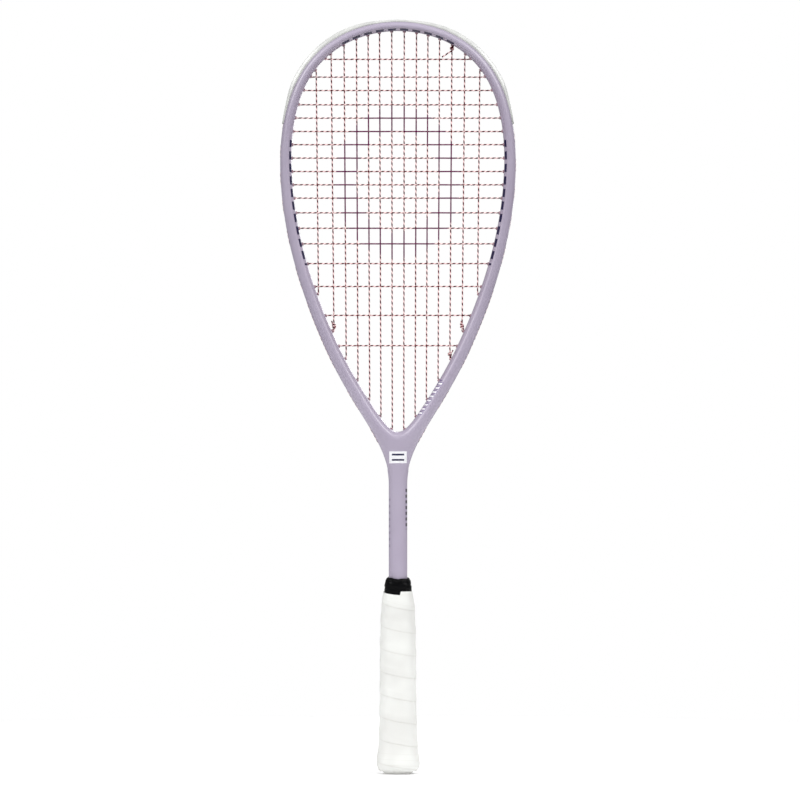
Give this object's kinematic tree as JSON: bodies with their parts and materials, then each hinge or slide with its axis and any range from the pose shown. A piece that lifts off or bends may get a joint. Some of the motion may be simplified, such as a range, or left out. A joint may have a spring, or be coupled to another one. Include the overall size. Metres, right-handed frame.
{
  "type": "squash racket",
  "caption": "Teardrop-head squash racket: hollow lacquered frame, nylon bumper and grommets, separate main and cross strings, and a layered wrapped handle.",
  "frame": {"origin": "centre of the flat butt face at the end of the handle", "axes": "+Z from the butt to the tip of the head, +X across the string bed, -Y out of the front face of the string bed"},
  "size_m": [0.2146, 0.0344, 0.6854],
  "materials": {
    "lavender_lacquer": "satin lacquer over moulded carbon fibre",
    "clear_nylon": "translucent moulded nylon",
    "string_fibre": "translucent multifilament with a dark spiral wrap",
    "handle_foam": "moulded polyurethane foam",
    "cap_plastic": "moulded, fine texture",
    "cushion_wrap": "matte cushion grip",
    "black_tape": "glossy stretched vinyl tape",
    "white_wrap": "tacky matte overgrip"
  },
  "bodies": {
    "root": {"frame": "lavender_lacquer", "bumper_guard": "clear_nylon", "grommet_strip_left": "clear_nylon", "grommet_strip_right": "clear_nylon", "throat_grommets_left": "clear_nylon", "throat_grommets_right": "clear_nylon", "main_string": "string_fibre", "cross_string": "string_fibre", "handle_pallet_left": "handle_foam", "handle_pallet_right": "handle_foam", "butt_cap": "cap_plastic", "base_grip": "cushion_wrap", "finishing_tape": "black_tape", "overgrip": "white_wrap"}
  },
  "joints": []
}
